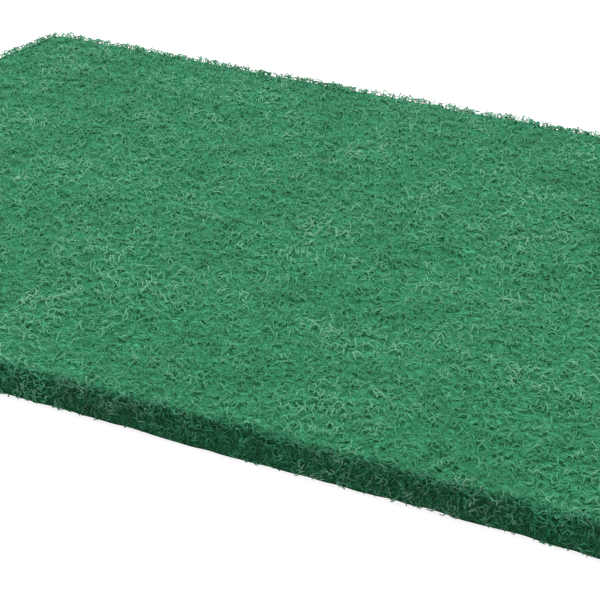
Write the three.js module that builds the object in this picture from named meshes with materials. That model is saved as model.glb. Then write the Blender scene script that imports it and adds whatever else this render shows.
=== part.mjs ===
// A nylon scouring pad: one oblong cut from a lofty web of matted, resin-bonded nylon fibre.
// Millimetres, +Z up. The pad lies flat; the origin is under its middle, on the surface it
// lies on. X runs along the long side, Y along the short side.
import * as THREE from "three";
import { mergeVertices } from "three/addons/utils/BufferGeometryUtils.js";

// The cut piece
const padLength = 229;
const padWidth = 152;
const padThickness = 7;
const cornerRadius = 5; // upright corners, seen from above
const edgeRound = 1.9; // the soft shoulder where a face turns into the cut edge

// The web's surface, which is never quite even
const cloudSize = 34; // thick and thin patches, left by the carding
const cloudDepth = 0.4;
const tuftSize = 10; // matted tufts, with pits between them
const tuftDepth = 0.6;
const pressedDepth = 0.3; // the highest spots are pressed flat by this much

// The cut edge, which wanders a little where fibres pull out
const raggedSize = 11;
const raggedDepth = 0.7;
const raggedReach = 6; // how far in from the cut the pull is still felt

// How finely the surface is drawn
const faceColumns = 60;
const faceRows = 40;
const edgeRows = 4;
const shoulderSteps = 3; // of the columns and rows, spent on each shoulder
const scatter = 0.3; // of a cell, so that no row or column shows

// Each uneven surface has a pattern of its own
const pattern = {
  underside: 11,
  top: 21,
  lowerRim: 31,
  upperRim: 32,
  scatterAlong: 41,
  scatterAcross: 42,
  tufts: 100, // added to a face's own number
};

// A repeatable number from 0 to 1 for a lattice point
function chance(i, j, seed) {
  let h = Math.imul(i, 374761393) + Math.imul(j, 668265263) + Math.imul(seed, 974634777);
  h = Math.imul(h ^ (h >>> 13), 1274126177);
  return ((h ^ (h >>> 16)) >>> 0) / 4294967296;
}

const ease = (t) => t * t * (3 - 2 * t);

// Smooth noise from 0 to 1, with lumps of about the given size
function lumps(x, y, size, seed) {
  const i = Math.floor(x / size);
  const j = Math.floor(y / size);
  const u = ease(x / size - i);
  const v = ease(y / size - j);
  const near = THREE.MathUtils.lerp(chance(i, j, seed), chance(i + 1, j, seed), u);
  const far = THREE.MathUtils.lerp(chance(i, j + 1, seed), chance(i + 1, j + 1, seed), u);
  return THREE.MathUtils.lerp(near, far, v);
}

// How deep a face lies under its highest plane: broad clouds, and tufts as winding ridges
function faceDip(x, y, seed) {
  const cloud = cloudDepth * lumps(x, y, cloudSize, seed);
  const ridge = tuftDepth * Math.abs(2 * lumps(x, y, tuftSize, seed + pattern.tufts) - 1);
  return Math.max(0, cloud + ridge - pressedDepth);
}

// How far the cut edge falls short of its nominal line, from the lower rim to the upper one
function cutDip(x, y, z) {
  const low = lumps(x, y, raggedSize, pattern.lowerRim);
  const high = lumps(x, y, raggedSize, pattern.upperRim);
  const here = THREE.MathUtils.lerp(low, high, z / padThickness);
  return raggedDepth * Math.max(0, 2 * here - 1);
}

// The place of a grid line across one span: the outer lines crowd onto the shoulders
function gridLine(index, count, span) {
  const half = span / 2;
  const fromEnd = Math.min(index, count - index);
  const side = index * 2 < count ? -1 : 1;
  if (fromEnd <= shoulderSteps) {
    const turn = (fromEnd / shoulderSteps) * (Math.PI / 2);
    return side * (half - edgeRound * (1 - Math.cos(turn)));
  }
  const share = (index - shoulderSteps) / (count - 2 * shoulderSteps);
  return (share * 2 - 1) * (half - edgeRound);
}

// Bends the square corners of the plan round, and tells how far a point is from the outline
// and which way the outline faces there
function roundPlan(x, y) {
  const overX = Math.abs(x) - (padLength / 2 - cornerRadius);
  const overY = Math.abs(y) - (padWidth / 2 - cornerRadius);
  const facing = new THREE.Vector2();
  if (overX > 0 && overY > 0) {
    const reach = Math.max(overX, overY);
    facing.set(overX, overY).normalize();
    x = Math.sign(x) * (padLength / 2 - cornerRadius + facing.x * reach);
    y = Math.sign(y) * (padWidth / 2 - cornerRadius + facing.y * reach);
  } else if (overX > overY) {
    facing.set(1, 0);
  } else {
    facing.set(0, 1);
  }
  const inset = cornerRadius - Math.max(overX, overY);
  facing.set(facing.x * Math.sign(x), facing.y * Math.sign(y));
  return { x, y, inset, facing };
}

// The height of a face at a point: the shoulder rises on a quarter circle from the cut edge,
// and inside it the face has its relief
function faceHeight(x, y, inset, isTop) {
  const short = Math.max(0, edgeRound - inset);
  const rise = Math.sqrt(edgeRound ** 2 - short ** 2);
  const hold = ease(Math.min(1, inset / edgeRound));
  const dip = faceDip(x, y, isTop ? pattern.top : pattern.underside) * hold;
  return isTop ? padThickness - edgeRound + rise - dip : edgeRound - rise + dip;
}

// One grid point of the box, moved to its place on the pad
function padPoint(i, j, k) {
  const plan = roundPlan(
    gridLine(i, faceColumns, padLength),
    gridLine(j, faceRows, padWidth),
  );
  const { inset, facing } = plan;
  let { x, y } = plan;
  let z;
  if (k === 0 || k === edgeRows) {
    // Points well inside a face are scattered in their cells
    const cellLength = padLength / faceColumns;
    const cellWidth = padWidth / faceRows;
    const free = ease(THREE.MathUtils.clamp((inset - edgeRound) / cellLength, 0, 1));
    x += (chance(i, j, pattern.scatterAlong + k) * 2 - 1) * scatter * cellLength * free;
    y += (chance(i, j, pattern.scatterAcross + k) * 2 - 1) * scatter * cellWidth * free;
    z = faceHeight(x, y, inset, k === edgeRows);
  } else {
    // The cut edge stands upright between the two shoulders
    z = THREE.MathUtils.lerp(edgeRound, padThickness - edgeRound, k / edgeRows);
  }

  // Fibres pulled out of the cut let the edge fall back
  const pull = 1 - ease(Math.min(1, Math.max(0, inset) / raggedReach));
  const fallBack = cutDip(x, y, z) * pull;
  return [x - facing.x * fallBack, y - facing.y * fallBack, z];
}

// The pad starts as a finely divided box, and every point of it is moved to its place
function padGeometry() {
  const box = new THREE.BoxGeometry(2, 2, 2, faceColumns, faceRows, edgeRows);
  const place = box.getAttribute("position");
  const gridIndex = (value, count) => Math.round(((value + 1) / 2) * count);
  for (let n = 0; n < place.count; n++) {
    const i = gridIndex(place.getX(n), faceColumns);
    const j = gridIndex(place.getY(n), faceRows);
    const k = gridIndex(place.getZ(n), edgeRows);
    place.setXYZ(n, ...padPoint(i, j, k));
  }
  box.deleteAttribute("normal");
  box.deleteAttribute("uv");
  const closed = mergeVertices(box);
  closed.computeVertexNormals();
  return closed;
}

const greenWeb = new THREE.MeshStandardMaterial({
  color: 0x3d8660,
  roughness: 0.95,
  metalness: 0,
});

const scouringPad = new THREE.Mesh(padGeometry(), greenWeb);
scouringPad.name = "scouring_pad";

const product = new THREE.Group();
product.add(scouringPad);

export default product;
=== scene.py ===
import math
import bpy
import numpy as np
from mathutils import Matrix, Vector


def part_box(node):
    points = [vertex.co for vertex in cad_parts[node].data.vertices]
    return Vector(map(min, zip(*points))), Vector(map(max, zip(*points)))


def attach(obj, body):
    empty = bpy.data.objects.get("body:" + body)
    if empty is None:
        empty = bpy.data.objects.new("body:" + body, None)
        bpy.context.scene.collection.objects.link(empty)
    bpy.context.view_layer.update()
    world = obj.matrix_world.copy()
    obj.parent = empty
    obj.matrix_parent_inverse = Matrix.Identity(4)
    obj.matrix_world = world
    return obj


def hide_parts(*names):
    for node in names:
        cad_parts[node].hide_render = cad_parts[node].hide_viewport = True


# A green scouring pad: a dark matted core, with curly nylon fibres lying over it and in it.
# Sizes are in millimetres while a form is worked out, and in metres once it is in a mesh.
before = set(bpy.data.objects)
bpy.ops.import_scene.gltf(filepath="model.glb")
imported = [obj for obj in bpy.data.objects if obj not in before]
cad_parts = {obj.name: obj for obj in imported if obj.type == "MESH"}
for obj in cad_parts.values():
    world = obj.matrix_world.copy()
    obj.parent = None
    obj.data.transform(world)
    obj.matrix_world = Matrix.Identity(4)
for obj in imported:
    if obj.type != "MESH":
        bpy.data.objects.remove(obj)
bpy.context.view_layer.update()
mm = 0.001
tiny = 1e-9  # keeps a division from zero
padNode = "scouring_pad"

padShape = {
    "cornerRadius": 5.0,    # upright corners, seen from above
    "shoulder": 1.9,        # the soft round where the top turns into the cut edge
    "footRound": 0.8,       # the tighter one where the pad lies on its cut edge
    "footCalm": 2.2,        # up to this far from it the surface gets smooth
    "footSunk": 0.44,       # and lies this deep under the outline
    "footUneven": 0.30,     # more or less by half of this
    "footWave": 3.0,        # in lumps of this size
    "wanderReach": 6.0,     # how far in from the cut its wandering is felt
    "reliefSpacing": 2.0,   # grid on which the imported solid's relief is read
    "reliefBlur": 1.7,
    "faceClear": 0.3,       # points this much further in than the shoulder are on a face
    "wallSlack": 0.1,       # and those up to this far into the shoulder count as the cut
}

# Each uneven thing has a pattern of noise of its own. Where it has two sizes of noise, the
# finer one has the next number.
pattern = {
    "tufts": 3,
    "clumps": 5,
    "clouds": 50,
    "foot": 60,
    "patches": 70,
    "faded": 72,
}


# Chance and noise

# A number from 0 to 1 for every lattice point: the indices are mixed, shifted and mixed again
def chance(i, j, seed):
    mixed = (
        i.astype(np.uint32) * np.uint32(374761393)
        + j.astype(np.uint32) * np.uint32(668265263)
        + np.uint32(seed * 974634777 % 4294967296)
    )
    mixed = (mixed ^ (mixed >> np.uint32(13))) * np.uint32(1274126177)
    return (mixed ^ (mixed >> np.uint32(16))) / 4294967296


def ease(t):  # 3t^2 - 2t^3 between 0 and 1
    t = np.clip(t, 0, 1)
    return t * t * (3 - 2 * t)


# Smooth noise from 0 to 1: the four lattice values round a point, mixed by eased distances
def lumps(x, y, size, seed):
    i, j = np.floor(x / size), np.floor(y / size)
    u, v = ease(x / size - i), ease(y / size - j)
    i, j = i.astype(np.int64), j.astype(np.int64)
    near = chance(i, j, seed) * (1 - u) + chance(i + 1, j, seed) * u
    far = chance(i, j + 1, seed) * (1 - u) + chance(i + 1, j + 1, seed) * u
    return near * (1 - v) + far * v


# Such noise of two sizes: coarse x (1 - fineShare) + fine x fineShare
def twoLumps(x, y, sizes, fineShare, seed):
    coarse = lumps(x, y, sizes[0], seed)
    fine = lumps(x, y, sizes[1], seed + 1)
    return (1 - fineShare) * coarse + fineShare * fine


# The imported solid, read as numbers

# Its points in millimetres, each of them once
def solidPoints():
    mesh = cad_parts[padNode].data
    points = np.empty(len(mesh.vertices) * 3, np.float32)
    mesh.vertices.foreach_get("co", points)
    return np.unique(points.reshape(-1, 3).astype(float) / mm, axis=0)


# A grid of how deep a face lies under its plane: at each grid point the mean depth of the
# solid's points, weighted by exp(-distance^2 / 2 blur^2). A faint weight for all of them keeps
# the mean defined where no point is near.
def readRelief(points, depth, half):
    spacing, blur, faint = padShape["reliefSpacing"], padShape["reliefBlur"], 1e-12
    axes = [np.arange(-h - spacing, h + 2 * spacing, spacing) for h in half]
    weights = [
        np.exp(-((axis[:, None] - points[None, :, n]) ** 2) / (2 * blur**2)) + faint
        for n, axis in enumerate(axes)
    ]
    total = weights[0] @ weights[1].T
    return {"axes": axes, "depth": (weights[0] * depth) @ weights[1].T / total}


# Bilinear reading of such a grid. A place on its last line is read from just before it.
def reliefAt(grid, x, y):
    spots = []
    for axis, value in zip(grid["axes"], (x, y)):
        step = axis[1] - axis[0]
        place = np.clip((value - axis[0]) / step, 0, len(axis) - 1.001)
        low = place.astype(int)
        spots.append((low, place - low))
    (i, u), (j, v) = spots
    d = grid["depth"]
    near = d[i, j] * (1 - u) + d[i + 1, j] * u
    far = d[i, j + 1] * (1 - u) + d[i + 1, j + 1] * u
    return near * (1 - v) + far * v


# The pad's box and the reliefs of its two faces and its cut edge, with the origin under its
# middle, on the surface that it lies on
def readPad():
    low, high = (np.array(corner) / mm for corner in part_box(padNode))
    middle, half = (low + high) / 2, (high - low)[:2] / 2
    points = solidPoints() - [middle[0], middle[1], low[2]]
    thick = high[2] - low[2]
    shoulder = padShape["shoulder"]
    inner = (np.abs(points[:, :2]) < half - shoulder - padShape["faceClear"]).all(1)
    top = points[inner & (points[:, 2] > thick / 2)]
    under = points[inner & (points[:, 2] < thick / 2)]

    # The cut edge: how far its points fall short of the nominal outline, by place in the plan
    wall = points[np.abs(points[:, 2] - thick / 2) < thick / 2 - shoulder + padShape["wallSlack"]]
    shortfall = insetOf(wall[:, 0], wall[:, 1], half)[0]
    return {
        "middle": middle,
        "base": low[2],
        "half": half,
        "thick": thick,
        "top": readRelief(top, thick - top[:, 2], half),
        "under": readRelief(under, under[:, 2], half),
        "wander": readRelief(wall, shortfall, half),
    }


# How far a point lies inside the outline, and which way the nearest stretch of outline faces:
# the distance to a rounded rectangle, and its slope
def insetOf(x, y, half):
    r = padShape["cornerRadius"]
    overX, overY = np.abs(x) - (half[0] - r), np.abs(y) - (half[1] - r)
    outX, outY = np.maximum(overX, 0), np.maximum(overY, 0)
    outside = np.hypot(outX, outY)
    straight = outside < tiny
    faceX = np.where(straight, overX > overY, outX / np.maximum(outside, tiny))
    faceY = np.where(straight, overX <= overY, outY / np.maximum(outside, tiny))
    inset = r - outside - np.minimum(np.maximum(overX, overY), 0)
    return inset, faceX * np.sign(x), faceY * np.sign(y)


pad = readPad()

# The way round the edge, from where the shoulder starts on top to where the foot ends below
edgeLength = (
    pad["thick"] + (padShape["shoulder"] + padShape["footRound"]) * (math.pi / 2 - 1)
)


# The pad as one sheet that lies on the top face, wraps down the cut edge and turns under.
# A point of the plan inside the outline goes straight onto the face. Past the shoulder's start
# it goes as far round the shoulder, down the cut and round the foot as it lies out.
# lift is the height over that surface. Towards the foot it eases into footLift, more or less
# a little, because the pad's lower rim is nearly smooth. With under, the sheet starts on the
# underside instead.
def onPad(x, y, lift, footLift, under=False):
    near, far = padShape["shoulder"], padShape["footRound"]
    if under:
        near, far = far, near
    thick = pad["thick"]
    cut = thick - near - far
    inset, faceX, faceY = insetOf(x, y, pad["half"])
    past = near - inset
    turn = np.clip(past / near, 0, math.pi / 2)
    down = np.clip(past - near * math.pi / 2, 0, cut)
    turnFar = np.clip((past - near * math.pi / 2 - cut) / far, 0, math.pi / 2)
    back = np.maximum(past - (near + far) * math.pi / 2 - cut, 0)

    # Where the surface stands, outwards from the shoulder's start and upwards, and its facing
    isFar = turnFar > 0
    outward = np.where(isFar, near - far + far * np.cos(turnFar), near * np.sin(turn)) - back
    height = thick - near + near * np.cos(turn) - down - far * np.sin(turnFar)
    leanOut = np.where(isFar, np.cos(turnFar), np.sin(turn))
    leanUp = np.where(isFar, -np.sin(turnFar), np.cos(turn))

    # The face's relief, and the cut edge's wandering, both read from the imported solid
    relief = reliefAt(pad["under" if under else "top"], x, y) * ease(inset / near)
    pull = 1 - ease(inset / padShape["wanderReach"])
    past = np.maximum(past, 0)
    footX, footY = x - faceX * past, y - faceY * past
    wander = reliefAt(pad["wander"], footX, footY) * pull
    fromFoot = np.abs(near - inset) if under else edgeLength - past
    uneven = lumps(footX, footY, padShape["footWave"], pattern["foot"]) - 0.5
    footLift = footLift + padShape["footUneven"] * uneven
    lift = footLift + (lift - footLift) * ease(fromFoot / padShape["footCalm"])
    reach = outward * (past > 0) + leanOut * lift - wander
    upward = height - relief + leanUp * lift
    place = np.stack([footX + faceX * reach, footY + faceY * reach, upward], -1)
    facing = np.stack([faceX * leanOut, faceY * leanOut, leanUp], -1)
    if under:
        place[..., 2] = thick - place[..., 2]
        facing[..., 2] *= -1
    return place, facing


# How far past the outline the unrolled sheet lies at a share of the way round the edge
def pastOutline(share, under=False):
    return share * edgeLength - padShape["footRound" if under else "shoulder"]


# The two sheets of the core meet where both lie equally far past the outline
rimReach = (edgeLength - padShape["shoulder"] - padShape["footRound"]) / 2


# Meshes

# One mesh of points in millimetres and faces in groups of as many corners. With normals, its
# points are shaded as if they faced those ways.
def newPiece(name, points, faces, material, normals=None):
    mesh = bpy.data.meshes.new(name)
    corners = np.concatenate([f.ravel() for f in faces])
    sizes = np.concatenate([np.full(len(f), f.shape[1]) for f in faces])
    starts = np.concatenate([[0], np.cumsum(sizes)[:-1]])
    mesh.vertices.add(len(points))
    metres = (points + [pad["middle"][0], pad["middle"][1], pad["base"]]) * mm
    mesh.vertices.foreach_set("co", metres.astype(np.float32).ravel())
    mesh.loops.add(len(corners))
    mesh.loops.foreach_set("vertex_index", corners.astype(np.int32))
    mesh.polygons.add(len(sizes))
    mesh.polygons.foreach_set("loop_start", starts.astype(np.int32))
    mesh.polygons.foreach_set("use_smooth", np.ones(len(sizes), bool))
    mesh.update(calc_edges=True)
    if normals is not None:
        mesh.normals_split_custom_set_from_vertices(normals)
    mesh.materials.append(material)
    piece = bpy.data.objects.new(name, mesh)
    bpy.context.scene.collection.objects.link(piece)
    return piece


# The map that materials are baked on: one place in the unit square for each face corner
def addMap(piece, places):
    layer = piece.data.uv_layers.new(name="OFBake")
    layer.data.foreach_set("uv", places.astype(np.float32).ravel())


# Three numbers for each point, which a material reads by name
def addPlaces(piece, name, places):
    attribute = piece.data.attributes.new(name, "FLOAT_VECTOR", "POINT")
    attribute.data.foreach_set("vector", places.astype(np.float32).ravel())


# The web's tufts, which the core and the fibres share

tufts = {
    "clump": 5.0,           # matted clumps, mm
    "clumpDepth": 0.30,
    "tuft": 2.2,            # small tufts, with pits between them
    "tuftDepth": 0.50,
    "fine": 0.6,            # size of the finer ones among them, as a share
    "fineShare": 0.4,       # how much these count
    "fineShift": (0.7, 0.4),
    "cutOpen": 0.8,         # how much deeper all are on the cut edge
    "cutFade": 1.5,         # and how far past the outline it takes to get there
    "push": 0.25,           # how far fibres are pushed out of the pits
    "slopeStep": 0.1,
}


# 0 in the pits and 1 on the tufts: coarse noise x (1 - fineShare) + fine noise x fineShare
def tuftShare(x, y):
    shiftX, shiftY = tufts["fineShift"]
    coarse = lumps(x, y, tufts["tuft"], pattern["tufts"])
    fine = lumps(x + shiftX, y + shiftY, tufts["tuft"] * tufts["fine"], pattern["tufts"] + 1)
    return (1 - tufts["fineShare"]) * coarse + tufts["fineShare"] * fine


# Depth under the highest tufts: clump depth x (1 - noise) + tuft depth x (1 - tuft share),
# and more by cutOpen past the outline
def tuftDepth(x, y):
    clump = lumps(x, y, tufts["clump"], pattern["clumps"])
    depth = tufts["clumpDepth"] * (1 - clump) + tufts["tuftDepth"] * (1 - tuftShare(x, y))
    inset = insetOf(x, y, pad["half"])[0]
    return depth * (1 + tufts["cutOpen"] * ease(-inset / tufts["cutFade"]))


# Points move up the slope of the tufts, out of the pits, by push x size x slope
def pushed(x, y):
    step = tufts["slopeStep"]
    far = tufts["push"] * tufts["tuft"] / (2 * step)
    slopeX = tuftShare(x + step, y) - tuftShare(x - step, y)
    slopeY = tuftShare(x, y + step) - tuftShare(x, y - step)
    return x + far * slopeX, y + far * slopeY


# The core: the matted inner mass that shows between the fibres

core = {
    "spacing": 1.12,        # between the points of its surface
    "sunk": 0.32,           # under the pad's nominal surface, with the depth of the tufts
    "rimSunk": 0.10,        # more along the shoulder, where only loose fibres stand
    "rimMiddle": 0.5,       # so far in from the outline it is sunk most
    "rimWidth": 3.0,        # and so far from there not at all
    "sharedFade": 1.5,      # over which the lower half changes to the cut's tufts
    "levelScale": 0.5,      # of the way in from the rim, as its material reads it for the cut's painted shade
    "levelReach": 8.0,
    "mapWide": 0.96,        # the long side's share of the bake map
    "mapSquash": 0.75,      # by which each half is narrower there than it is
    "mapShift": 0.25,       # up or down, so that both fit
    "mapMargin": 0.005,
}


# sunk + the tufts' depth + rimSunk along the upper shoulder. Past the outline the lower half
# has the tufts of the sheet that comes down from the top, so that they lie under the cut's
# fibres: they are read as far beyond the rim as the point is short of it.
def coreDepth(x, y, inset, under):
    depth = tuftDepth(x, y)
    if under:
        faceX, faceY = insetOf(x, y, pad["half"])[1:]
        beyond = 2 * (inset + rimReach)
        shared = ease(1 - inset / core["sharedFade"])
        depth = depth * (1 - shared) + tuftDepth(x + faceX * beyond, y + faceY * beyond) * shared
    else:
        depth += core["rimSunk"] * ease(1 - np.abs(inset - core["rimMiddle"]) / core["rimWidth"])
    return core["sunk"] + depth


# One half of the core as a grid of the plan, out to the middle of the cut edge. The square
# corners of the grid are bent round, each point keeping the larger of its two distances.
def coreSheet(columns, rows, under):
    half = pad["half"] + rimReach
    r = padShape["cornerRadius"] + rimReach
    x, y = np.meshgrid(np.linspace(-half[0], half[0], columns + 1),
                       np.linspace(-half[1], half[1], rows + 1), indexing="ij")
    overX, overY = np.abs(x) - (half[0] - r), np.abs(y) - (half[1] - r)
    corner = (overX > 0) & (overY > 0)
    far = np.maximum(overX, overY) / np.maximum(np.hypot(overX, overY), tiny)
    x = np.where(corner, np.sign(x) * (half[0] - r + overX * far), x)
    y = np.where(corner, np.sign(y) * (half[1] - r + overY * far), y)
    inset = insetOf(x, y, pad["half"])[0]
    depth = coreDepth(x, y, inset, under)
    place = onPad(x, y, -depth, -padShape["footSunk"], under)[0]
    level = np.minimum(inset + rimReach, core["levelReach"]) * core["levelScale"]
    return place, np.stack([x, y, -level if under else level], -1)


# Both halves, joined along the rim: the lower one uses the upper one's rim points
def makeCore(material):
    full = 2 * (pad["half"] + rimReach)
    columns, rows = (full / core["spacing"]).astype(int)
    upper, upperPlan = coreSheet(columns, rows, False)
    lower, lowerPlan = coreSheet(columns, rows, True)
    count = (columns + 1) * (rows + 1)
    top = np.arange(count).reshape(columns + 1, rows + 1)
    rim = np.ones_like(top, bool)
    rim[1:-1, 1:-1] = False
    bottom = top.copy()
    bottom[~rim] = count + np.arange((~rim).sum())

    def quads(index, turned):
        a, b, c, d = index[:-1, :-1], index[1:, :-1], index[1:, 1:], index[:-1, 1:]
        order = (a, d, c, b) if turned else (a, b, c, d)
        return np.stack([q.ravel() for q in order], 1)

    points = np.concatenate([upper.reshape(-1, 3), lower[~rim]])
    piece = newPiece("pad_core", points, [quads(top, False), quads(bottom, True)], material)
    addPlaces(piece, "sheet", np.concatenate([upperPlan.reshape(-1, 3), lowerPlan[~rim]]))

    # Bake map: the plan of the upper half below, and that of the lower half above it
    wide = upperPlan[..., :2].reshape(-1, 2) / full.max() * core["mapWide"] + 0.5
    squash, shift, margin = core["mapSquash"], core["mapShift"], core["mapMargin"]
    below = wide[quads(top, False).ravel()] * [1, squash] - [0, shift]
    above = wide[quads(top, True).ravel()] * [1, squash] + [0, shift]
    addMap(piece, np.concatenate([below, above]) * (1 - 2 * margin) + margin)
    return piece


# Fibres

# Between which shares of their style's values single fibres differ
fibreSpread = {
    "step": (0.65, 1.3),
    "swing": (0.3, 1.0),
    "wave": (0.7, 1.4),
    "arch": (1.4, 2.6),     # the two numbers of a beta spread from 0 to 1
    "heave": (0.4, 1.0),
    "heaveWave": (0.7, 1.4),
    "width": (0.75, 1.3),
}


# Each fibre runs in small steps, and its heading swings: heading = start + bend s +
# swing sin(2 pi s / wave + phase), with s measured from its middle. The steps are summed and
# moved so that the fibre's middle is at its own spot.
def windingPaths(style, spots, rng):
    count, points = len(spots), style["points"]
    step = style["step"] * rng.uniform(*fibreSpread["step"], (count, 1))
    s = (np.arange(points) - (points - 1) / 2) * step
    start = rng.uniform(0, 2 * math.pi, (count, 1))
    bend = rng.normal(0, style["bend"], (count, 1))
    swing = rng.uniform(*fibreSpread["swing"], (count, 1)) * style["swing"]
    wave = rng.uniform(*fibreSpread["wave"], (count, 1)) * style["wave"]
    phase = rng.uniform(0, 2 * math.pi, (count, 1))
    heading = start + bend * s + swing * np.sin(2 * math.pi * s / wave + phase)
    runs = np.stack([np.cos(heading), np.sin(heading)], -1) * step[..., None]
    path = np.cumsum(runs, axis=1)
    path -= path[:, points // 2, None, :]
    return path + spots[:, None, :]


# Height over the surface, with t from -1 at one end to 1 at the other: level + slant t +
# arch (1 - t^2) + heave sin(2 pi s / wave + phase) - dive t^4
def heights(style, count, rng):
    points = style["points"]
    t = np.linspace(-1, 1, points)
    s = t * (points - 1) / 2 * style["step"]
    level = rng.normal(style["level"], style["levelSpread"], (count, 1))
    slant = rng.normal(0, style["slant"], (count, 1))
    arch = rng.beta(*fibreSpread["arch"], (count, 1)) * style["arch"]
    heave = rng.uniform(*fibreSpread["heave"], (count, 1)) * style["heave"]
    wave = rng.uniform(*fibreSpread["heaveWave"], (count, 1)) * style["heaveWave"]
    phase = rng.uniform(0, 2 * math.pi, (count, 1))
    swell = heave * np.sin(2 * math.pi * s / wave + phase)
    return level + slant * t + arch * (1 - t**2) + swell - style["dive"] * t**4


# The thin places of the web
clouds = {
    "sizes": (9.0, 4.0),    # mm
    "fineShare": 0.5,
}


# Spots spread by chance over the unrolled sheet. Out of those in reach, thin x (1 - cloud) are
# left out.
def sheetSpots(style, rng):
    reach = pastOutline(style["wrap"], style["under"])
    spots = rng.uniform(-1, 1, (style["fibres"] * style["tries"], 2)) * (pad["half"] + reach)
    inset = insetOf(spots[:, 0], spots[:, 1], pad["half"])[0]
    cloud = twoLumps(*spots.T, clouds["sizes"], clouds["fineShare"], pattern["clouds"])
    there = rng.uniform(0, 1, len(spots)) > style["thin"] * (1 - cloud)
    keep = (inset > -reach) & (inset < style["inner"]) & there
    return spots[keep][: style["fibres"]]


# A fibre's place on its bake map is its tone across and its hue up
fibreMap = {
    "span": 0.94,
    "margin": 0.03,
    "across": 0.004,        # a ring's corners lie so far to the left and right of its tone
    "up": 0.006,            # and one of them so far above its hue
}


# A closed three-sided tube along each path: every ring has a corner away from the pad and two
# towards it, the rings shrink by 1 - endNarrower |t|^endPower, with t from -1 at one end to 1
# at the other, and one triangle closes each end. Each corner is shaded as if it faced its own
# way out of the fibre plus soften x the way that the pad's surface faces.
def makeFibres(name, style, paths, facing, tone, hue, material, rng):
    count, points = paths.shape[:2]
    along = np.gradient(paths, axis=1)
    along /= np.maximum(np.linalg.norm(along, axis=-1, keepdims=True), tiny)
    side = np.cross(along, facing)
    side /= np.maximum(np.linalg.norm(side, axis=-1, keepdims=True), tiny)
    up = np.cross(side, along)
    t = np.linspace(-1, 1, points)
    taper = 1 - style["endNarrower"] * np.abs(t) ** style["endPower"]
    radius = style["width"] / math.sqrt(3) * rng.uniform(*fibreSpread["width"], (count, 1)) * taper
    turns = np.radians([90, 210, 330])
    ring = (
        side[:, :, None] * np.cos(turns)[None, None, :, None]
        + up[:, :, None] * np.sin(turns)[None, None, :, None] * style["flat"]
    )
    corners = paths[:, :, None] + ring * radius[:, :, None, None]
    normals = ring + style["soften"] * facing[:, :, None]
    normals /= np.linalg.norm(normals, axis=-1, keepdims=True)

    index = np.arange(count * points * 3).reshape(count, points, 3)
    here, there = index[:, :-1], index[:, 1:]
    nextHere, nextThere = np.roll(here, -1, 2), np.roll(there, -1, 2)
    walls = np.stack([here, there, nextThere, nextHere], -1).reshape(-1, 4)
    ends = np.concatenate([index[:, 0], index[:, -1][:, ::-1]])
    piece = newPiece(name, corners.reshape(-1, 3), [walls, ends], material, normals.reshape(-1, 3))

    span, margin = fibreMap["span"], fibreMap["margin"]
    across = tone.reshape(-1, 1) * span + margin + fibreMap["across"] * np.array([-1, 0, 1])
    upward = hue.reshape(-1, 1) * span + margin + fibreMap["up"] * np.array([0, 1, 0])
    places = np.stack([across, upward], -1).reshape(-1, 2)
    addMap(piece, np.concatenate([places[walls.ravel()], places[ends.ravel()]]))
    return piece


# Where the web is lighter and darker, or greener and greyer
toning = {
    "patches": (12.0, 5.0),         # sizes of the lighter and darker ones
    "finePatches": 0.4,
    "faded": (9.0, 3.5),            # and of the greener and greyer ones
    "fineFaded": 0.5,
    "rimMiddle": 2.0,               # so far in from the outline the shoulder's painted light is strongest
    "rimWidth": 3.0,
    "cutStart": 2.4,                # so far in from it the painted shade down the cut starts
    "cutWay": 3.4,                  # and over this way it gets its full depth
}


# Tone, from 0 for dark to 1 for light: tone + patchy (noise - 0.5) + chance for the fibre +
# a painted shade in the pits, by its weight x (tuft share - 0.5), + a painted light at the
# shoulder - a painted shade down the cut + chance for the point. Hue, from 0 for clear green
# to 1 for greyish: hue + huePatchy (noise - 0.5) + chance for the fibre + a painted sheen
# that greys the lighter ones, by its weight x (tone - 0.5).
def fibreTones(style, x, y, rng):
    midX, midY = x[:, x.shape[1] // 2, None], y[:, y.shape[1] // 2, None]
    patch = twoLumps(midX, midY, toning["patches"], toning["finePatches"], pattern["patches"])
    tone = style["tone"] + style["patchy"] * (patch - 0.5)
    tone = tone + rng.normal(0, style["toneSpread"], midX.shape)
    # Painted shade: fibres in the pits between the tufts are darker
    tone = tone + style["pitPaintedShade"] * (tuftShare(x, y) - 0.5)
    inset = insetOf(x, y, pad["half"])[0]
    fromRim = np.abs(inset - toning["rimMiddle"]) / toning["rimWidth"]
    # Painted light: fibres lighter along the shoulder, as if lit there
    tone = tone + style["rimPaintedLight"] * ease(1 - fromRim)
    # Painted shade: fibres darker down the cut edge
    tone = tone - style["cutPaintedShade"] * ease((toning["cutStart"] - inset) / toning["cutWay"])
    tone = tone + rng.normal(0, style["resin"], x.shape)
    faded = twoLumps(midX, midY, toning["faded"], toning["fineFaded"], pattern["faded"])
    hue = style["hue"] + style["huePatchy"] * (faded - 0.5)
    hue = hue + rng.normal(0, style["hueSpread"], midX.shape)
    # Painted sheen: the lighter fibres greyer, as lit nylon shines whitish
    hue = hue + style["paintedSheen"] * (tone - 0.5)
    return np.clip(tone, 0, 1), np.clip(hue, 0, 1)


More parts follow.
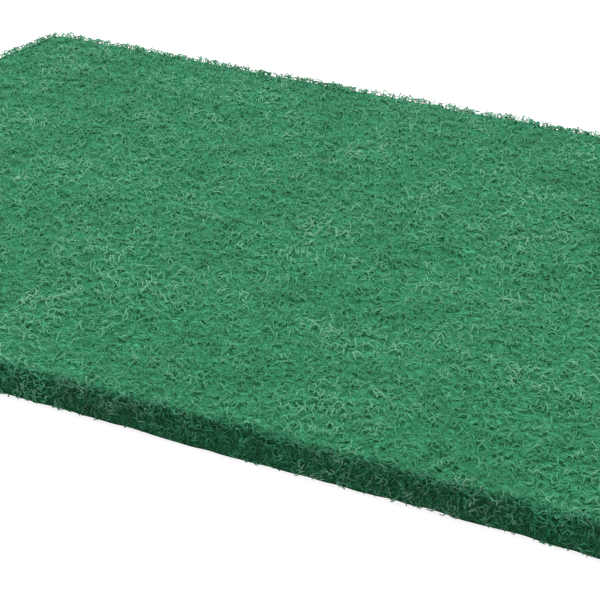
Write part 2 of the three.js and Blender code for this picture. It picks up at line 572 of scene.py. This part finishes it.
# One set of fibres: winding paths on the unrolled sheet, pushed out of the pits, with their
# heights over the tufts, all laid round the pad
def makeWeb(name, style, material):
    rng = np.random.default_rng(style["seed"])
    spots = sheetSpots(style, rng)
    paths = windingPaths(style, spots, rng)
    x, y = pushed(paths[..., 0], paths[..., 1])
    # What would reach under the foot is moved back up the cut edge
    inset, faceX, faceY = insetOf(x, y, pad["half"])
    over = np.maximum(-pastOutline(style["wrapEnd"], style["under"]) - inset, 0)
    x, y = x - faceX * over, y - faceY * over
    lift = heights(style, len(spots), rng) - tuftDepth(x, y)
    footLift = style["footLift"] - padShape["footSunk"]
    place, facing = onPad(x, y, lift, footLift, style["under"])
    place[..., 2] = np.maximum(place[..., 2], style["width"] / 2)  # none goes into the table
    tone, hue = fibreTones(style, x, y, rng)
    return makeFibres(name, style, place, facing, tone, hue, material, rng)


webCommon = {
    "points": 6,            # on each fibre
    "step": 0.50,           # between them
    "bend": 1.0,            # steady curl, radians for each millimetre
    "swing": 0.7,           # how far the heading swings
    "wave": 3.0,            # over this length
    "slant": 0.30,          # one end higher than the other
    "arch": 0.0,            # the middle higher than the ends
    "heave": 0.60,          # up and down
    "heaveWave": 2.8,
    "dive": 0.3,            # of the ends
    "levelSpread": 0.08,
    "width": 0.32,
    "flat": 0.7,            # height of a fibre's section, as a share of a round one's
    "endNarrower": 0.55,    # by this share of its width at the very end
    "endPower": 6,          # the higher, the nearer to the end it gets narrow
    "soften": 0.4,          # how far its shading turns to the way that the pad's surface faces
    "thin": 0.63,           # share of the spots that is left out in the thinnest places
    "wrap": 0.5,            # how far round the edge the fibres' middles lie
    "wrapEnd": 0.91,        # and how far their ends may reach
    "inner": 200.0,         # how far in from the outline it starts
    "tries": 3,             # spots drawn for each fibre wanted
    "under": False,
    "footLift": 0.06,       # how far they stand out of the core at the foot
    "patchy": 0.45,         # how much the patches count
    "toneSpread": 0.025,    # from fibre to fibre
    # painted shade: how much darker the fibres in the pits are
    "pitPaintedShade": 0.52,
    "rimPaintedLight": 0.07,       # how much lighter they are along the shoulder: a painted light
    "cutPaintedShade": 0.18,       # and how much darker down the cut edge: a painted shade
    "resin": 0.03,          # lighter and darker from point to point along a fibre
    "hue": 0.17,
    "huePatchy": 0.5,
    "paintedSheen": 1.1,         # how much greyer the lighter ones are: a painted sheen
    "hueSpread": 0.02,
}

# Short curls that stand up in arches and at all slopes
curlCommon = dict(
    webCommon, points=4, step=0.44, bend=1.7, slant=0.40, arch=0.9, heave=0.1, dive=0.0,
)
webs = {
    "web_deep": dict(curlCommon, fibres=6000, level=-0.12, tone=0.52, width=0.34, seed=101),
    "web_middle": dict(webCommon, fibres=5000, level=0.03, tone=0.51, width=0.31, seed=102),
    "web_surface": dict(webCommon, fibres=5400, level=0.10, tone=0.50, width=0.25, seed=103),
    "web_curls": dict(curlCommon, fibres=9000, level=-0.08, tone=0.495, width=0.20, seed=106),
    "web_under": dict(curlCommon, fibres=1200, level=0.2, slant=0.1, arch=0.0, wrap=0.1,
                      under=True, tone=0.5, seed=104),
}

# The cut edge, where the fibres are short ends that stand out at all angles. Their lower
# tone is partly a painted shade of the upright cut edge.
webs["web_cut"] = dict(
    curlCommon, fibres=9500, step=0.34, bend=1.2, slant=0.35, arch=0.0, level=0.15,
    levelSpread=0.15, width=0.19, flat=0.9, inner=0.6, wrap=0.88, tries=30, thin=0.42,
    tone=0.41, toneSpread=0.12, pitPaintedShade=0.6, hue=0.6, huePatchy=2.0, hueSpread=0.3, cutPaintedShade=0.0,
    seed=107,
)

# Loose arches that stand out of the web along the shoulder, and a few all over the face. Their
# higher tone is partly a painted light, as on loose fibres lit through from behind.
fuzzCommon = dict(
    webCommon, points=5, step=0.42, bend=1.2, wave=4.0, heave=0.0, dive=0.0, slant=0.1,
    level=0.1, width=0.18, flat=0.9, thin=0.28, tone=0.56, toneSpread=0.08, pitPaintedShade=0.2, hue=0.45,
)
webs["fuzz_edge"] = dict(fuzzCommon, fibres=900, arch=1.2, inner=2.5, wrap=0.30, tries=40, seed=105)
webs["fuzz_face"] = dict(fuzzCommon, fibres=300, arch=0.8, wrap=0.0, seed=108)


# Materials

# A shader node with its settings, and each input given a value or a link
def addNode(tree, kind, inputs, **settings):
    node = tree.nodes.new("ShaderNode" + kind)
    for name, value in settings.items():
        setattr(node, name, value)
    for name, value in inputs.items():
        if isinstance(value, bpy.types.NodeSocket):
            tree.links.new(value, node.inputs[name])
        else:
            node.inputs[name].default_value = value
    return node


# One step of arithmetic on numbers or links, and the same on vectors
def addMath(tree, operation, *values):
    return addNode(tree, "Math", dict(enumerate(values)), operation=operation).outputs[0]


def addVector(tree, operation, inputs):
    return addNode(tree, "VectorMath", inputs, operation=operation).outputs["Vector"]


# Values from low to high become values from start to end, and are held there beyond them
def addSpread(tree, value, low, high, start, end):
    ends = {"Value": value, "From Min": low, "From Max": high, "To Min": start, "To Max": end}
    return addNode(tree, "MapRange", ends).outputs["Result"]


# Colours by the source's value, straight from stop to stop
def addRamp(tree, stops, source):
    node = addNode(tree, "ValToRGB", {"Fac": source})
    while len(node.color_ramp.elements) < len(stops):
        node.color_ramp.elements.new(0.5)
    for element, (at, colour) in zip(node.color_ramp.elements, stops):
        element.position = at
        element.color = (*colour, 1)
    return node.outputs["Color"]


# A material that is one Principled shader with its own roughness and specular level
def newMaterial(name, look):
    material = bpy.data.materials.new(name)
    material.use_nodes = True
    tree = material.node_tree
    tree.nodes.clear()
    shader = tree.nodes.new("ShaderNodeBsdfPrincipled")
    output = tree.nodes.new("ShaderNodeOutputMaterial")
    tree.links.new(shader.outputs["BSDF"], output.inputs["Surface"])
    shader.inputs["Roughness"].default_value = look["roughness"]
    shader.inputs["Specular IOR Level"].default_value = look["specular"]
    return material, tree, shader


# The fibres' colours by tone, from those deep in the pad, darkened as a painted shade, to the
# lightest: clear green, and greyish where the resin is dusty or worn, and on the lighter fibres
# as a painted sheen
nylon = {
    "greens": [
        (0.00, (0.002, 0.075, 0.022)),
        (0.25, (0.007, 0.185, 0.070)),
        (0.50, (0.026, 0.328, 0.146)),
        (0.75, (0.090, 0.480, 0.255)),
        (1.00, (0.230, 0.630, 0.400)),
    ],
    "greys": [
        (0.00, (0.015, 0.055, 0.032)),
        (0.25, (0.042, 0.150, 0.080)),
        (0.50, (0.095, 0.280, 0.160)),
        (0.75, (0.190, 0.420, 0.275)),
        (1.00, (0.360, 0.580, 0.430)),
    ],
    "roughness": 0.5,
    "specular": 0.42,
}


# Tone, across the fibres' map, picks a green and a grey, and hue, up it, mixes the two
def fibreMaterial():
    material, tree, shader = newMaterial("green nylon fibre", nylon)
    place = addNode(tree, "UVMap", {}, uv_map="OFBake").outputs["UV"]
    place = addNode(tree, "SeparateXYZ", {"Vector": place}).outputs
    green = addRamp(tree, nylon["greens"], place["X"])
    grey = addRamp(tree, nylon["greys"], place["X"])
    colour = addNode(tree, "MixRGB", {"Fac": place["Y"], "Color1": green, "Color2": grey})
    tree.links.new(colour.outputs["Color"], shader.inputs["Base Color"])
    return material


# The matted mass under the single fibres
matted = {
    "curl": 2.0,            # size of the curls that the strands follow, mm
    "curlPull": 0.7,        # how far they are pulled aside by them, mm
    "strands": [            # turn, length, width and height in the web of each set of strands
        (0.2, 1.8, 0.42, 0.62),
        (0.9, 1.5, 0.38, 0.80),
        (1.6, 1.7, 0.44, 0.72),
        (2.3, 1.5, 0.36, 0.90),
        (2.8, 1.8, 0.40, 1.00),
    ],
    "strandsApart": 7.3,    # between the sets' places in the noise
    "strandEdge": 0.075,    # of the noise's range on each side of a strand's middle
    "pit": 0.8,             # size of the pits, mm
    "pitEdges": (0.36, 0.62),
    "mass": 0.42,           # height of the matted mass between the pits
    # by height: the low, dark end is a painted shade in the pits and under the strands
    "greens": [
        (0.00, (0.004, 0.072, 0.027)),
        (0.35, (0.018, 0.185, 0.078)),
        (0.60, (0.045, 0.305, 0.142)),
        (1.00, (0.092, 0.445, 0.235)),
    ],
    "relief": 0.15,         # height of the bump, mm
    "cutPaintedShade": 0.62,       # how light the cut edge is, beside the face: a painted shade
    "cutEdges": (1.0, 2.5),  # where that starts to fade and has gone, by half the way in
    "roughness": 0.8,
    "specular": 0.1,
}


# Strands: lines where a stretched noise crosses its middle value. Each set is turned its own
# way and all are pulled into curls by one coarse noise, by 4 x curlPull x (noise - 0.5), as
# the noise seldom leaves 0.25 to 0.75. The highest strand at a place counts, and between the
# strands lies the mass, broken by pits. Height gives both bump and tone, the tone as a painted
# shade: the lower, the darker, darkest in the pits.
def mattedMaterial():
    material, tree, shader = newMaterial("matted green web", matted)
    sheet = addNode(tree, "Attribute", {}, attribute_name="sheet").outputs["Vector"]
    curl = addNode(tree, "TexNoise", {"Vector": sheet, "Scale": 1 / matted["curl"], "Detail": 1.0})
    pull = addVector(tree, "SUBTRACT", {0: curl.outputs["Color"], 1: (0.5, 0.5, 0.5)})
    pull = addVector(tree, "SCALE", {0: pull, "Scale": 4 * matted["curlPull"]})
    bent = addVector(tree, "ADD", {0: sheet, 1: pull})

    pits = addNode(tree, "TexNoise", {"Vector": bent, "Scale": 1 / matted["pit"], "Detail": 1.0})
    low, high = matted["pitEdges"]
    height = addSpread(tree, pits.outputs["Fac"], low, high, 0.0, matted["mass"])
    for n, (turn, length, width, level) in enumerate(matted["strands"]):
        turned = addNode(tree, "Mapping", {
            "Vector": bent,
            "Location": (0.0, 0.0, matted["strandsApart"] * n),
            "Rotation": (0.0, 0.0, turn),
            "Scale": (1 / length, 1 / width, 1.0),
        })
        turned = turned.outputs["Vector"]
        noise = addNode(tree, "TexNoise", {"Vector": turned, "Scale": 1.0, "Detail": 0.0})
        away = addMath(tree, "ABSOLUTE", addMath(tree, "SUBTRACT", noise.outputs["Fac"], 0.5))
        strand = addSpread(tree, away, 0.0, matted["strandEdge"], level, 0.0)
        height = addMath(tree, "MAXIMUM", height, strand)

    # The third number in "sheet" is half the way in from the rim, which runs round the middle
    # of the cut edge. By it the cut edge gets a painted shade.
    inward = addNode(tree, "SeparateXYZ", {"Vector": sheet}).outputs["Z"]
    inward = addMath(tree, "ABSOLUTE", inward)
    low, high = matted["cutEdges"]
    # Painted shade: the core's cut edge darker than its face
    light = addSpread(tree, inward, low, high, matted["cutPaintedShade"], 1.0)
    # Painted shade: the lower the height, the darker the green
    green = addRamp(tree, matted["greens"], height)
    colour = addVector(tree, "SCALE", {0: green, "Scale": light})
    tree.links.new(colour, shader.inputs["Base Color"])
    relief = {"Strength": 1.0, "Distance": matted["relief"] * mm, "Height": height}
    bump = addNode(tree, "Bump", relief)
    tree.links.new(bump.outputs["Normal"], shader.inputs["Normal"])
    return material


# The setting

studio = {
    "floorSize": 6.0,
    "floorDrop": 0.0001,    # under the pad, so that no two faces lie in one plane
    "floorBounce": 0.35,    # grey of the floor as the pad's side sees it
    "floorShade": 0.42,     # grey that takes the shadow, as the camera sees it
    "floorGlow": 0.87,      # added for the camera, so that the lit floor is white
    "fill": 0.78,           # plain light from all round
    "lampPlace": (-0.18, 0.56, 1.40),   # behind the pad, so that its near side is in shade
    "lampSize": 1.6,
    "lampPower": 15.5,
}


# 1 for what the camera sees, straight or by a reflection or through something clear
def seenByCamera(tree):
    path = tree.nodes.new("ShaderNodeLightPath").outputs
    seen = addMath(tree, "MAXIMUM", path["Is Camera Ray"], path["Is Glossy Ray"])
    return addMath(tree, "MAXIMUM", seen, path["Is Transmission Ray"])


# The table is a plain grey one for the pad, and for the camera a pale one that glows, so that
# it is white but keeps the shadow
def makeFloor():
    half = studio["floorSize"] / 2
    z = -studio["floorDrop"]
    corners = [(-half, -half, z), (half, -half, z), (half, half, z), (-half, half, z)]
    mesh = bpy.data.meshes.new("table_top")
    mesh.from_pydata(corners, [], [(0, 1, 2, 3)])
    floor = bpy.data.objects.new("table_top", mesh)
    bpy.context.scene.collection.objects.link(floor)

    material = bpy.data.materials.new("white table")
    material.use_nodes = True
    tree = material.node_tree
    tree.nodes.clear()
    dull = addNode(tree, "BsdfDiffuse", {"Color": (*[studio["floorBounce"]] * 3, 1)})
    pale = addNode(tree, "BsdfDiffuse", {"Color": (*[studio["floorShade"]] * 3, 1)})
    glow = addNode(tree, "Emission", {"Strength": studio["floorGlow"]})
    both = addNode(tree, "AddShader", {0: pale.outputs[0], 1: glow.outputs[0]})
    kinds = {0: seenByCamera(tree), 1: dull.outputs[0], 2: both.outputs[0]}
    mix = addNode(tree, "MixShader", kinds)
    addNode(tree, "OutputMaterial", {"Surface": mix.outputs[0]})
    mesh.materials.append(material)


# Even light from all round, which the camera sees as white
def makeWorld():
    world = bpy.data.worlds.new("white room")
    bpy.context.scene.world = world
    world.use_nodes = True
    tree = world.node_tree
    tree.nodes.clear()
    fill = addNode(tree, "Background", {"Color": (1, 1, 1, 1), "Strength": studio["fill"]})
    white = addNode(tree, "Background", {"Color": (1, 1, 1, 1), "Strength": 1.0})
    kinds = {0: seenByCamera(tree), 1: fill.outputs[0], 2: white.outputs[0]}
    mix = addNode(tree, "MixShader", kinds)
    addNode(tree, "OutputWorld", {"Surface": mix.outputs[0]})


# One large soft lamp, turned to face the pad's middle
def makeLamp():
    x, y, z = studio["lampPlace"]
    lamp = bpy.data.lights.new("softbox", "AREA")
    lamp.shape = "DISK"
    lamp.size = studio["lampSize"]
    lamp.energy = studio["lampPower"]
    holder = bpy.data.objects.new("softbox", lamp)
    holder.location = (x, y, z)
    holder.rotation_euler = (math.atan2(math.hypot(x, y), z), 0, math.atan2(x, -y))
    bpy.context.scene.collection.objects.link(holder)


# The photograph's view: low over the near long side, from the right, with a long lens
view = {
    "place": (0.211, -0.363, 0.176),
    "turn": 30.6,           # to the left of straight along the pad's width
    "tilt": 23.60,          # down
    "lens": 147.4,
    "sensor": 36.0,
    "nearest": 0.01,
}


def makeCamera():
    eye = bpy.data.cameras.new("camera")
    eye.lens = view["lens"]
    eye.sensor_width = view["sensor"]
    eye.clip_start = view["nearest"]
    camera = bpy.data.objects.new("camera", eye)
    camera.location = view["place"]
    camera.rotation_euler = (math.radians(90 - view["tilt"]), 0, math.radians(view["turn"]))
    bpy.context.scene.collection.objects.link(camera)
    bpy.context.scene.camera = camera


bpy.context.scene.view_settings.view_transform = "Standard"
makeCamera()
makeWorld()
makeFloor()
makeLamp()
print("camera, table and light are up")

padCore = makeCore(mattedMaterial())
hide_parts(padNode)
fibreGreen = fibreMaterial()
pieces = [padCore] + [makeWeb(name, style, fibreGreen) for name, style in webs.items()]
total = 0
for piece in pieces:
    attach(piece, "root")
    piece.data.calc_loop_triangles()
    triangles = len(piece.data.loop_triangles)
    total += triangles
    print(piece.name, "has", triangles, "triangles")
print("all pieces together have", total)
